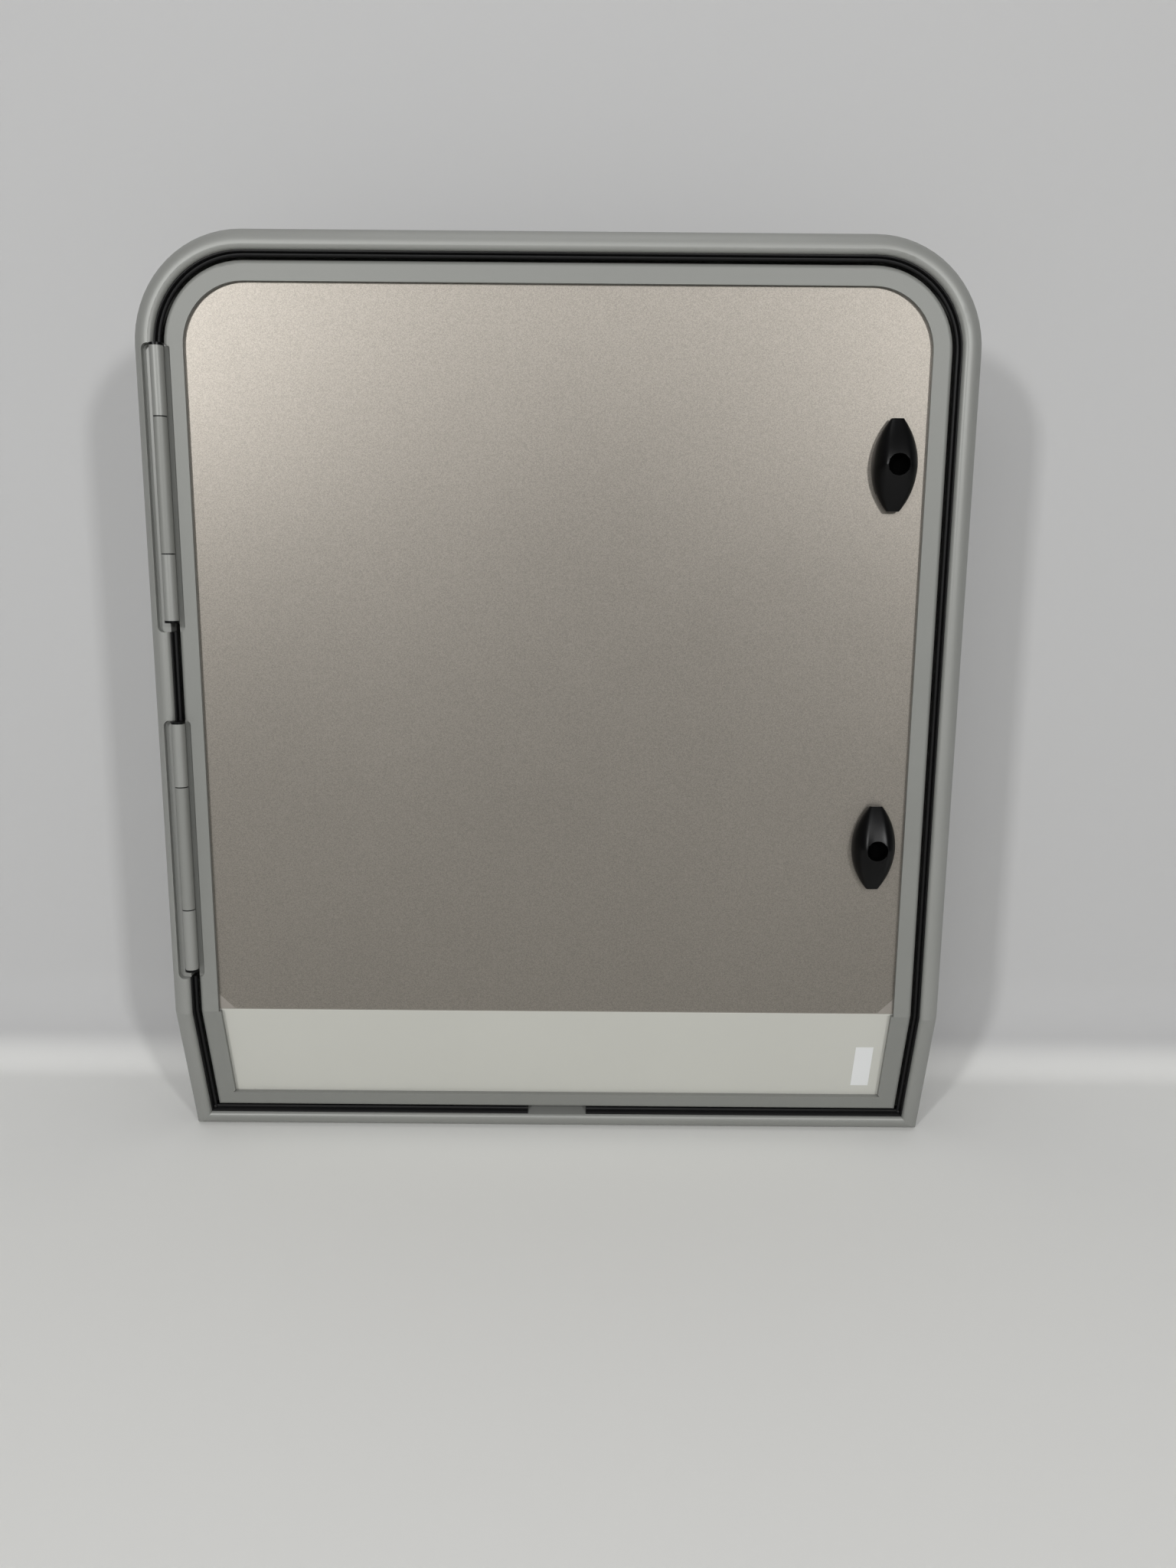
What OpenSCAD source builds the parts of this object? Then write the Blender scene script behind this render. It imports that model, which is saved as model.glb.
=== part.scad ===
// Caravan service door: an aluminium frame and a sandwich leaf, both folded back near the bottom.
// X runs to the right, Y into the vehicle and Z up. A place across a rail is given as u, the
// distance in from the frame's outer edge, and as v, the depth behind the vehicle's outer skin.
// What stands proud of the skin has a negative v. The fold line lies in the skin's plane.

/* [Overall] */
// Width over the frame
frame_w = 700; // [520:10:900]
// Height of the frame above the fold
upper_h = 672; // [650:2:800]
// Length of the frame below the fold, measured along the folded part
lower_h = 138; // [130:2:200]
// Angle by which the part below the fold leans back
fold_angle = 18; // [10:1:24]
// Outer radius of the two top corners
corner_r = 92; // [80:1:120]

/* [Frame profile] */
// Width of the frame's visible rail
rail_w = 16.5; // [15.5:0.5:18]
// Height of the rail's crown over the skin
crown_h = 8.5; // [7.5:0.5:9]
// Thickness of the rail's thin outer lip
lip_t = 1.2; // [0.8:0.2:2]
// Radius from the crown into the inner wall
nose_r = 4; // [3:0.5:5]
// Wall thickness of the profile
frame_t = 1.8; // [1.6:0.1:2]
// Depth of the leg that passes through the vehicle's wall
leg_depth = 45; // [42:1:60]
// Depth of the stop lip's front face
stop_v = 28; // [27.5:0.5:29]
// Width of the stop lip, measured from the leg
stop_w = 15; // [13:0.5:17]
// Radius of a fixing hole through the leg
fix_r = 2.2; // [1.8:0.1:2.6]
// Distance between neighbouring fixing holes
fix_pitch = 140; // [100:5:150]

/* [Leaf profile] */
// Gap between the frame's inner wall and the leaf's edge
edge_gap = 7; // [6.5:0.5:9]
// Width of the leaf's visible rim
rim_w = 16.5; // [15:0.5:20]
// Extra width of the rim's lip beside the lower sheet
low_lip = 2; // [1:0.5:4]
// Height of the rim's face over the skin
rim_proud = 3; // [2:0.5:4]
// Thickness of the rim's front lip
rim_t = 3.5; // [3:0.5:4]
// Radius of the rim's outer edge
rim_r = 4; // [3:0.5:5]
// Wall thickness of the leaf's profile
leaf_t = 1.8; // [1.4:0.1:2.2]
// Depth of the leaf's back face behind the skin
leaf_back = 24; // [22:0.5:24]
// Width of the chamber that holds the corner keys
chamber_w = 5.7; // [5:0.1:6.5]
// Front wall of that chamber
chamber_front = 5; // [4.6:0.2:6]

/* [Panel] */
// Thickness of the champagne sheet
decor_t = 0.5; // [0.3:0.1:1]
// Thickness of the off-white folded sheet
skin_t = 1; // [0.6:0.1:1.5]
// Thickness of the sheet on the inside
lining_t = 1; // [0.6:0.1:1.5]
// Distance from the fold to the champagne sheet's lower edge
decor_rise = 1; // [0.5:0.5:4]

/* [Hinges] */
// Distance of the hinge axis from the frame's outer edge
hinge_u = 20; // [20:0.1:20.2]
// Height of the hinge axis over the skin
hinge_out = 8.5; // [8.5:0.1:9]
// Radius of the knuckles
knuckle_r = 5.75; // [5.5:0.05:6]
// Length of each short knuckle
short_len = 56; // [45:1:60]
// Distance between the two hinges
hinge_apart = 89; // [70:1:120]
// Gap between two knuckles
joint_gap = 1; // [0.8:0.1:1.4]
// Radius of the hinge pin
pin_r = 2.5; // [2:0.1:3]
// Radius of the bush in the long knuckle
bush_r = 3.6; // [3.4:0.1:4]
// Thickness of the two wings
wing_t = 1.8; // [1.4:0.1:2]
// Depth of the wings' lower edge
wing_deep = 11; // [9:0.5:13]
// Height of the lower hinge's lower end over the fold
hinge_rise = 43; // [30:1:50]
// Thickness of the end caps' discs
cap_t = 2; // [1.6:0.2:2.6]
// Radius of the end caps' discs
cap_r = 6.1; // [5.9:0.1:6.4]
// Distance of the milled pocket's outer side from the frame's outer edge
pocket_u = 7; // [6:0.5:8]
// Width of the milled pocket
pocket_w = 22; // [21:0.5:23]
// Radius of the milled pocket's corners
pocket_r = 5; // [3:0.5:6]
// Length of the pocket below the hinge
pocket_run = 10; // [6:1:14]
// Screws along each wing
wing_screws = 4; // [3:1:5]
// Shank radius of a wing screw
wing_screw_r = 1.7; // [1.5:0.1:2]

/* [Locks] */
// Distance of the lock axis from the frame's outer edge
lock_u = 67; // [66:0.5:72]
// Distance of the upper lock from the frame's top
lock_drop = 182; // [160:2:220]
// Height of the lower lock over the fold
lock_rise = 160; // [120:2:200]
// Length of the turn knob
knob_len = 78; // [70:1:84]
// Width of the turn knob
knob_w = 38; // [36:1:42]
// Height of the knob's ridge over the skin
knob_h = 20; // [18:0.5:24]
// Width of the knob's blunt tips
tip_w = 11; // [9:0.5:14]
// Height of the knob's blunt tips
tip_h = 10.5; // [8:0.5:12]
// Height of the knob's upright rim
knob_rim = 4; // [3:0.5:5]
// Width of the ridge across the knob
ridge_w = 20; // [19:0.5:22]
// Radius of the socket for the lock cylinder
socket_r = 9; // [8:0.1:9.2]
// Depth of that socket below the ridge
socket_deep = 12; // [10:0.5:12.5]
// Radius of the housing's barrel
barrel_r = 11; // [10:0.5:12]
// Radius of the housing's flange
flange_r = 15; // [13.5:0.5:15]
// Radius of the spindle
spindle_r = 6; // [5:0.5:6.5]
// Reach of the tongue from the lock axis
tongue_reach = 43; // [41:0.5:46]
// Width of the tongue
tongue_w = 16; // [12:1:17]
// Thickness of the tongue
tongue_t = 3; // [2:0.5:4]

/* [Seals] */
// Radius of the weather seal's bulb
seal_r = 2.2; // [1.8:0.1:2.2]
// Length of the drain notch at the sill
drain_len = 56; // [30:2:80]

/* [Label] */
// Width of the blank label
label_w = 16.5; // [12:0.5:30]
// Height of the blank label
label_h = 47; // [30:1:50]

/* [Hidden] */

$fn = 64;
hull_fn = 32;

// Clearances: a running fit, a slip fit, and the least air between parts that move apart
run_fit = 0.05;
slip = 0.02;
part_gap = 0.3;
loose = 0.2;

// How far a cutting or overlong shape runs past what it has to reach
reach = 60;
past = 1;
world = 1200;

UPPER = 0;
LOWER = 1;

// Frame profile
half_w = frame_w / 2;
crest_u = rail_w - nose_r;
crown_fall = crown_h - lip_t;
crown_r = round(500 * (pow(crest_u, 2) + pow(crown_fall, 2)) / crown_fall) / 1000;
leg_u = rail_w - frame_t;
stop_end = rail_w + stop_w;
stop_bead = 1.6;
seat_u = rail_w / 2;
origin_z = upper_h - seat_u;

// Channel on the leg's outer side, and the cleat that slides in it
cleat_t = 1.8;
cleat_w = 11;
cleat_arm = 48;
cleat_v = 9.5;
rib_t = 1.2;
rib_h = cleat_t + loose * 2 + rib_t;
hook_w = 1.5;

// Leaf profile
edge_u = rail_w + edge_gap;
rim_u = edge_u + rim_w;
sheet_v = rim_t - rim_proud;
chamber_u = edge_u + leaf_t;
chamber_v = chamber_front - rim_proud;
web_u = chamber_u + chamber_w + leaf_t;
channel_back = leaf_back - leaf_t;
key_arm = 45;

// Panel
panel_u = web_u + loose;
skin_v = sheet_v + decor_t;
core_v = skin_v + skin_t;
lining_v = channel_back - lining_t;

// Hinges
hinge_len = (upper_h - corner_r - hinge_rise - hinge_apart) / 2;
long_len = hinge_len - 2 * short_len;
hinge_z = [upper_h - corner_r - hinge_len, hinge_rise];
wing_top = knuckle_r - hinge_out + 0.5;
frame_wing_x = rail_w - hinge_u;
door_wing_x = edge_u - hinge_u;
frame_pocket_v = -2;
leaf_pocket_v = -0.2;
spigot_len = 4;
washer_t = joint_gap - loose;
screw_edge = 14;
screw_len = 8;
head_r = 2 * wing_screw_r;
frame_screw_v = 4;
door_screw_v = 5;

// Locks
lock_z = [upper_h - lock_drop, lock_rise];
lock_x = half_w - lock_u;
lens_side = (knob_w - tip_w) / 2;
lens_r = (pow(knob_len / 2, 2) + pow(lens_side, 2)) / (2 * lens_side);
knob_v = sheet_v - 0.4;
flange_v = sheet_v - 1.6;
recess_v = flange_v - 0.5;
socket_v = -knob_h + socket_deep;
knob_web = 2;
rim_clear = 0.6;
tip_under_v = -rim_proud - rim_clear;
skirt_r = lock_u - rim_u - rim_clear;
stop_back = stop_v + frame_t;
tongue_v = stop_back + 1.4;
barrel_end = tongue_v - 1.2;
lock_washer_t = 1;
lock_washer_r = barrel_r + 5;
nut_r = barrel_r + 6;
nut_t = 5;
square_w = 8;
small_washer_t = 1;
tongue_screw_r = 2.5;
tongue_screw_len = 12;
screw_head_t = 3;

// Seals
seal_foot = 1.4;
seal_deep = 9;
seal_sink = 0.8;
lump_r = 2.6;
lump_rise = 1.5;
bulb_r = (stop_v - leaf_back - part_gap) / 2;
bulb_v = leaf_back + part_gap + bulb_r;
bulb_u = (edge_u + stop_end) / 2;

// Fixing holes and label
fix_v = leg_depth - 6.5;
fix_mid = (upper_h - corner_r) / 2;
top_fix_pitch = 400;
label_t = 0.2;
label_inset = 10.5;
label_rise = 11.5;

// Stacks and outlines across a rail
module band(u0, u1, v0, v1) translate([u0, v0]) square([u1 - u0, v1 - v0]);

// A rectangle whose first corner is rounded
module nosed(u0, u1, v0, v1, r) {
    band(u0 + r, u1, v0, v1);
    band(u0, u0 + r + 0.01, v0 + r, v1);
    intersection() {
        translate([u0 + r, v0 + r]) circle(r);
        band(u0, u0 + r + 0.01, v0, v0 + r + 0.01);
    }
}

// Puts the fold's frame under the part's own origin, at the top of the flange's back
module placed() translate([0, 0, -origin_z]) children();
module tilt(way) rotate([way * fold_angle / 2, 0, 0]) children();
module lean() tilt(1) tilt(1) children();
module sides() {
    children();
    mirror([1, 0, 0]) children();
}

// The two sides of the mitre plane through the fold. Both lengths are cut where that plane is level,
// each tilted from it by the same angle, so that their ends match exactly.
module keep_upper(rise = 0) tilt(1) intersection() {
    tilt(-1) children();
    translate([-world, -world, rise]) cube(2 * world);
}
module keep_lower() tilt(1) intersection() {
    tilt(1) children();
    translate([-world, -world, -2 * world]) cube(2 * world);
}

// Trapezoid of the sill between its two mitres, seen along the folded part's depth
module sill_zone() slab(-reach, 2 * reach) polygon([
    [-half_w - past, -lower_h - past], [half_w + past, -lower_h - past],
    [half_w - reach, -lower_h + reach], [-half_w + reach, -lower_h + reach]]);

// A flat outline in the face's plane, made a slab between two depths
module slab(v0, v1) translate([0, v1, 0]) rotate([90, 0, 0]) linear_extrude(v1 - v0) children();

// A cylinder along the depth
module bar(v0, v1, r) translate([0, v0, 0]) rotate([-90, 0, 0]) cylinder(r = r, h = v1 - v0);

// Runs a section round the top: two sides and the top, joined by two bends
module hoop_upper() keep_upper() {
    sides() translate([-half_w, 0, -reach]) linear_extrude(upper_h - corner_r + reach) children();
    sides() translate([-half_w + corner_r, 0, upper_h - corner_r]) rotate([-90, 0, 0])
        rotate([0, 0, 180]) rotate_extrude(angle = 90) translate([corner_r, 0])
            mirror([1, 0]) children();
    translate([-half_w + corner_r, 0, upper_h]) rotate([0, 90, 0])
        linear_extrude(frame_w - 2 * corner_r) children();
}
// The two lengths below the fold, cut to the sill's mitres
module hoop_lower() keep_lower() difference() {
    sides() translate([-half_w, 0, -lower_h]) linear_extrude(lower_h + reach) children();
    sill_zone();
}
module sill_run() lean() intersection() {
    translate([half_w, 0, -lower_h]) rotate([0, -90, 0]) linear_extrude(frame_w) children();
    sill_zone();
}

// A plate that follows the fold and the two round corners
module folded_plate(u, v0, v1) {
    keep_upper() slab(v0, v1) face_outline(u);
    keep_lower() slab(v0, v1) translate([-half_w + u, -lower_h + u])
        square([frame_w - 2 * u, lower_h - u + reach]);
}
module face_outline(u) {
    translate([-half_w + u, -reach]) square([frame_w - 2 * u, upper_h - corner_r + reach]);
    translate([-half_w + corner_r, 0]) square([frame_w - 2 * corner_r, upper_h - u]);
    for (side = [-1, 1])
        translate([side * (half_w - corner_r), upper_h - corner_r]) circle(corner_r - u);
}

module at_hinge(i) translate([-half_w + hinge_u, 0, hinge_z[i]]) children();
module at_lock(i) translate([lock_x, 0, lock_z[i]]) children();

// Frame: a crown that rises from a thin lip, a leg behind it, and the stop lip
module frame_section() {
    intersection() {
        translate([crest_u, crown_r - crown_h]) circle(crown_r);
        band(0, crest_u, -crown_h, 0);
    }
    band(crest_u, rail_w, nose_r - crown_h, 0);
    intersection() {
        translate([crest_u, nose_r - crown_h]) circle(nose_r);
        band(crest_u, rail_w, -crown_h, nose_r - crown_h);
    }
    band(leg_u, rail_w, -past, leg_depth);
    band(leg_u, stop_end, stop_v, stop_back);
    band(stop_end - frame_t, stop_end, stop_v - stop_bead, stop_back);
    cleat_channel();
}
// Two hooked ribs on the leg's outer side
module cleat_channel() {
    low = cleat_v - loose;
    high = cleat_v + cleat_w + loose;
    band(leg_u - rib_h, leg_u, low - rib_t, low);
    band(leg_u - rib_h, leg_u, high, high + rib_t);
    band(leg_u - rib_h, leg_u - rib_h + rib_t, low - rib_t, low + hook_w);
    band(leg_u - rib_h, leg_u - rib_h + rib_t, high - hook_w, high + rib_t);
}
module pocket_outline() {
    low = -pocket_run;
    high = hinge_len + cap_t + 0.4;
    translate([pocket_u - hinge_u, low + pocket_r]) square([pocket_w, high - low - 2 * pocket_r]);
    translate([pocket_u - hinge_u + pocket_r, low]) square([pocket_w - 2 * pocket_r, high - low]);
    for (x = [pocket_r, pocket_w - pocket_r], z = [low + pocket_r, high - pocket_r])
        translate([pocket_u - hinge_u + x, z]) circle(pocket_r);
}
module hinge_pockets(floor_v) for (i = [UPPER, LOWER])
    at_hinge(i) slab(-reach, floor_v) pocket_outline();
module fixing_holes() {
    for (k = [-1.5, -0.5, 0.5, 1.5])
        sides() translate([-half_w + leg_u - past, fix_v, fix_mid + k * fix_pitch])
            rotate([0, 90, 0]) cylinder(r = fix_r, h = frame_t + 2 * past);
    for (side = [-1, 1])
        translate([side * top_fix_pitch / 2, fix_v, upper_h - rail_w - past])
            cylinder(r = fix_r, h = frame_t + 2 * past);
}
module frame_hoop() color([0.55, 0.56, 0.54]) placed() difference() {
    union() {
        hoop_upper() frame_section();
        hoop_lower() frame_section();
    }
    hinge_pockets(frame_pocket_v);
    fixing_holes();
    for (i = [UPPER, LOWER]) at_hinge(i) wing_screw_seats(frame_screw_v, frame_wing_x, -1);
}
module frame_sill() color([0.57, 0.58, 0.56]) placed() sill_run() frame_section();

// An angle in the folded part's lower left corner, between two depths
module corner_angle(u0, u1, v0, v1, arm) lean() {
    translate([-half_w + u0, v0, -lower_h + u0]) cube([u1 - u0, v1 - v0, arm]);
    translate([-half_w + u0, v0, -lower_h + u0]) cube([arm, v1 - v0, u1 - u0]);
}
module frame_cleat() corner_angle(leg_u - loose - cleat_t, leg_u - loose,
    cleat_v, cleat_v + cleat_w, cleat_arm);
module frame_cleat_left() color([0.6, 0.6, 0.6]) placed() frame_cleat();
module frame_cleat_right() color([0.6, 0.6, 0.6]) placed() mirror([1, 0, 0]) frame_cleat();

// Weather seal: a foot on the frame's inner wall, a round bulb towards the leaf, and a round lump
// where two lengths are joined in a lower corner
module gap_seal_section() {
    band(rail_w, rail_w + seal_foot, past, seal_deep);
    translate([rail_w + seal_r + slip, seal_r + seal_sink]) circle(seal_r);
}
module seal_lump() lean() translate([-half_w + rail_w + lump_r, 0, -lower_h + rail_w + lump_r])
    bar(-lump_rise, seal_deep - past, lump_r);
module gap_seal() color([0.08, 0.08, 0.08]) placed() difference() {
    union() {
        hoop_upper() gap_seal_section();
        hoop_lower() gap_seal_section();
        sill_run() gap_seal_section();
        sides() seal_lump();
    }
    for (i = [UPPER, LOWER]) at_hinge(i) slab(-reach, reach) {
        translate([pocket_u - hinge_u, -pocket_run])
            square([pocket_w, pocket_run + hinge_len + cap_t + 0.4]);
    }
    lean() slab(-reach, reach) polygon([
        [-drain_len / 2 - 3, -lower_h], [drain_len / 2 + 3, -lower_h],
        [drain_len / 2, -lower_h + edge_u], [-drain_len / 2, -lower_h + edge_u]]);
}
// Stop seal: a flat foot on the stop lip and a hollow bulb that the leaf presses on
module stop_seal_section() difference() {
    union() {
        translate([bulb_u, bulb_v]) circle(bulb_r);
        band(rail_w + 4, stop_end - frame_t - loose, stop_v - 1, stop_v);
    }
    translate([bulb_u, bulb_v]) circle(bulb_r / 2);
}
module stop_seal() color([0.1, 0.1, 0.1]) placed() {
    hoop_upper() stop_seal_section();
    hoop_lower() stop_seal_section();
    sill_run() stop_seal_section();
}

// Leaf
module leaf_section(lip = 0) difference() {
    nosed(edge_u, rim_u + lip, -rim_proud, leaf_back, rim_r);
    band(chamber_u, chamber_u + chamber_w, chamber_v, channel_back);
    band(web_u, rim_u + lip + past, sheet_v, channel_back);
}
module leaf_hoop() color([0.6, 0.61, 0.59]) placed() difference() {
    union() {
        hoop_upper() leaf_section();
        hoop_lower() leaf_section(low_lip);
    }
    hinge_pockets(leaf_pocket_v);
    for (i = [UPPER, LOWER]) at_hinge(i) wing_screw_seats(door_screw_v, door_wing_x, 1);
}
module leaf_sill() color([0.62, 0.63, 0.61]) placed() sill_run() leaf_section();
module leaf_key() corner_angle(chamber_u + loose, chamber_u + chamber_w - loose,
    chamber_v + loose, channel_back - loose, key_arm);
module leaf_key_left() color([0.5, 0.5, 0.5]) placed() leaf_key();
module leaf_key_right() color([0.5, 0.5, 0.5]) placed() mirror([1, 0, 0]) leaf_key();

module panel_holes() for (i = [UPPER, LOWER]) at_lock(i) bar(-reach, reach, barrel_r + loose);
module decor_sheet() color([0.76, 0.72, 0.66]) placed() difference() {
    keep_upper(decor_rise) slab(sheet_v, skin_v) face_outline(panel_u);
    panel_holes();
}
module outer_sheet() color([0.84, 0.84, 0.8]) placed() difference() {
    folded_plate(panel_u, skin_v, core_v);
    panel_holes();
}
module foam_core() color([0.9, 0.85, 0.7]) placed() difference() {
    folded_plate(panel_u, core_v, lining_v);
    panel_holes();
}
module inner_lining() color([0.88, 0.88, 0.86]) placed() difference() {
    folded_plate(panel_u, lining_v, channel_back);
    panel_holes();
}
module blank_label() color([0.95, 0.95, 0.95]) placed() lean()
    translate([half_w - rim_u - low_lip - label_inset - label_w, skin_v - label_t,
        -lower_h + rim_u + label_rise]) cube([label_w, label_t, label_h]);

// Hinges
module barrel(z0, z1, bore_r) translate([0, -hinge_out, z0]) difference() {
    cylinder(r = knuckle_r, h = z1 - z0);
    translate([0, 0, -past]) cylinder(r = bore_r, h = z1 - z0 + 2 * past);
}
// A wing on a side wall: its plate, and its root up to one knuckle
module wing_plate(x0) translate([x0, wing_top, 0]) cube([wing_t, wing_deep - wing_top, hinge_len]);
module wing_root(x0, z0, z1, bore_r) difference() {
    translate([x0, -hinge_out, z0]) cube([wing_t, hinge_out + wing_top + past, z1 - z0]);
    translate([0, -hinge_out, z0 - past]) cylinder(r = bore_r, h = z1 - z0 + 2 * past);
}
function screw_z(k) = screw_edge + k * (hinge_len - 2 * screw_edge) / (wing_screws - 1);

// Countersunk screws through a wing whose seat on the wall is at x0, pointing to dir
module wing_screw_set(v, x0, dir, grow) for (k = [0:wing_screws - 1])
    translate([x0 - dir * wing_t, v, screw_z(k)]) rotate([0, dir * 90, 0]) {
        cylinder(r1 = head_r + grow, r2 = wing_screw_r + grow, h = wing_screw_r);
        translate([0, 0, wing_screw_r - 0.2]) cylinder(r = wing_screw_r + grow, h = screw_len - wing_screw_r);
    }
module wing_screw_seats(v, x0, dir) wing_screw_set(v, x0, dir, loose / 2);

module frame_wing(i) placed() at_hinge(i) difference() {
    union() {
        for (z = [[0, short_len - joint_gap / 2], [hinge_len - short_len + joint_gap / 2, hinge_len]]) {
            barrel(z[0], z[1], pin_r + slip);
            wing_root(frame_wing_x, z[0], z[1], pin_r + slip);
        }
        wing_plate(frame_wing_x);
    }
    wing_screw_seats(frame_screw_v, frame_wing_x, -1);
}
module door_wing(i) placed() at_hinge(i) difference() {
    union() {
        barrel(short_len + joint_gap / 2, short_len + long_len - joint_gap / 2, bush_r + slip);
        wing_root(door_wing_x - wing_t, short_len + joint_gap / 2,
            short_len + long_len - joint_gap / 2, bush_r + slip);
        wing_plate(door_wing_x - wing_t);
    }
    wing_screw_seats(door_screw_v, door_wing_x, 1);
}
module hinge_pin(i) placed() at_hinge(i) translate([0, -hinge_out, spigot_len])
    cylinder(r = pin_r, h = hinge_len - 2 * spigot_len);
module hinge_bush(i) placed() at_hinge(i)
    translate([0, -hinge_out, short_len + joint_gap / 2]) difference() {
        cylinder(r = bush_r, h = long_len - joint_gap);
        translate([0, 0, -past]) cylinder(r = pin_r + run_fit, h = long_len + 2 * past);
    }
module hinge_washers(i) placed() at_hinge(i) for (z = [short_len, short_len + long_len])
    translate([0, -hinge_out, z - washer_t / 2]) difference() {
        cylinder(r = knuckle_r - loose, h = washer_t);
        translate([0, 0, -past]) cylinder(r = pin_r + slip, h = washer_t + 2 * past);
    }
module hinge_caps(i) placed() at_hinge(i) translate([0, -hinge_out, hinge_len / 2])
    for (flip = [0, 1]) mirror([0, 0, flip]) translate([0, 0, hinge_len / 2]) {
        cylinder(r = cap_r, h = cap_t);
        translate([0, 0, -spigot_len + loose]) cylinder(r = pin_r - slip, h = spigot_len);
    }

module hinge_upper_frame_wing() color([0.58, 0.59, 0.57]) frame_wing(UPPER);
module hinge_lower_frame_wing() color([0.58, 0.59, 0.57]) frame_wing(LOWER);
module hinge_upper_door_wing() color([0.62, 0.63, 0.61]) door_wing(UPPER);
module hinge_lower_door_wing() color([0.62, 0.63, 0.61]) door_wing(LOWER);
module hinge_upper_pin() color([0.7, 0.7, 0.72]) hinge_pin(UPPER);
module hinge_lower_pin() color([0.7, 0.7, 0.72]) hinge_pin(LOWER);
module hinge_upper_bush() color([0.85, 0.85, 0.8]) hinge_bush(UPPER);
module hinge_lower_bush() color([0.85, 0.85, 0.8]) hinge_bush(LOWER);
module hinge_upper_washers() color([0.15, 0.15, 0.15]) hinge_washers(UPPER);
module hinge_lower_washers() color([0.15, 0.15, 0.15]) hinge_washers(LOWER);
module hinge_upper_caps() color([0.05, 0.05, 0.05]) hinge_caps(UPPER);
module hinge_lower_caps() color([0.05, 0.05, 0.05]) hinge_caps(LOWER);
module frame_screws(i) placed() at_hinge(i) wing_screw_set(frame_screw_v, frame_wing_x, -1, 0);
module door_screws(i) placed() at_hinge(i) wing_screw_set(door_screw_v, door_wing_x, 1, 0);
module hinge_upper_frame_screws() color([0.75, 0.75, 0.75]) frame_screws(UPPER);
module hinge_lower_frame_screws() color([0.75, 0.75, 0.75]) frame_screws(LOWER);
module hinge_upper_door_screws() color([0.75, 0.75, 0.75]) door_screws(UPPER);
module hinge_lower_door_screws() color([0.75, 0.75, 0.75]) door_screws(LOWER);

// Locks
module ring(v0, v1, r, bore_r) difference() {
    bar(v0, v1, r);
    bar(v0 - past, v1 + past, bore_r);
}
module housing(i) placed() at_lock(i) difference() {
    union() {
        bar(flange_v, sheet_v, flange_r);
        bar(sheet_v, barrel_end, barrel_r);
    }
    bar(flange_v - past, barrel_end + past, spindle_r + run_fit);
}
module lock_washer(i) placed() at_lock(i)
    ring(channel_back, channel_back + lock_washer_t, lock_washer_r, barrel_r + loose);
module lock_nut(i) placed() at_lock(i) difference() {
    translate([0, channel_back + lock_washer_t, 0]) rotate([-90, 0, 0])
        cylinder(r = nut_r, h = nut_t, $fn = 6);
    bar(0, reach, barrel_r + slip);
}
// Half of the lens outline; the knob's body is the hull of both, its tips and its ridge
module lens_outline() intersection() {
    translate([lens_r - knob_w / 2, 0]) circle(lens_r, $fn = 6 * hull_fn);
    translate([knob_w / 2 - lens_r, 0]) circle(lens_r, $fn = 6 * hull_fn);
    square([knob_w, knob_len], center = true);
}
module knob_body() hull() {
    slab(-knob_rim, knob_v) lens_outline();
    slab(-knob_h, -knob_h + 1) square([ridge_w, 1], center = true);
    slab(-tip_h, -tip_h + 1) square([tip_w - 1, knob_len - 1], center = true);
}
// Outside its round skirt the knob is undercut, so that its tips pass over the leaf's rim
module knob(i) placed() at_lock(i) difference() {
    knob_body();
    ring(tip_under_v, past, knob_len, skirt_r);
    bar(-knob_h - past, socket_v, socket_r);
    bar(recess_v, reach, flange_r + 2 * part_gap);
    bar(socket_v + knob_web, reach, spindle_r + slip);
}
module spindle(i) placed() at_lock(i) difference() {
    union() {
        bar(socket_v + knob_web, tongue_v, spindle_r);
        slab(tongue_v - past, tongue_v + tongue_t - loose) square(square_w, center = true);
    }
    bar(tongue_v + tongue_t - tongue_screw_len, reach, tongue_screw_r + slip);
}
// The tongue hangs down at rest and swings to the frame's side
module tongue(i) placed() at_lock(i) slab(tongue_v, tongue_v + tongue_t) difference() {
    union() {
        circle(tongue_w / 2 + past);
        translate([-tongue_w / 2, -tongue_reach + tongue_w / 4]) square([tongue_w, tongue_reach - tongue_w / 4]);
        translate([-tongue_w / 4, -tongue_reach]) square([tongue_w / 2, tongue_reach]);
        for (side = [-1, 1]) translate([side * tongue_w / 4, -tongue_reach + tongue_w / 4])
            circle(tongue_w / 4);
    }
    square(square_w + 2 * slip, center = true);
}
module tongue_washer(i) placed() at_lock(i) ring(tongue_v + tongue_t,
    tongue_v + tongue_t + small_washer_t, square_w / 2 + 3, tongue_screw_r + loose);
module tongue_screw(i) placed() at_lock(i) {
    head_v = tongue_v + tongue_t + small_washer_t;
    bar(head_v - tongue_screw_len, head_v + past, tongue_screw_r);
    difference() {
        bar(head_v, head_v + screw_head_t, 2 * tongue_screw_r - 0.5);
        translate([0, head_v + past, 0]) rotate([-90, 0, 0])
            cylinder(r = tongue_screw_r * 0.9, h = screw_head_t, $fn = 6);
    }
}

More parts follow.
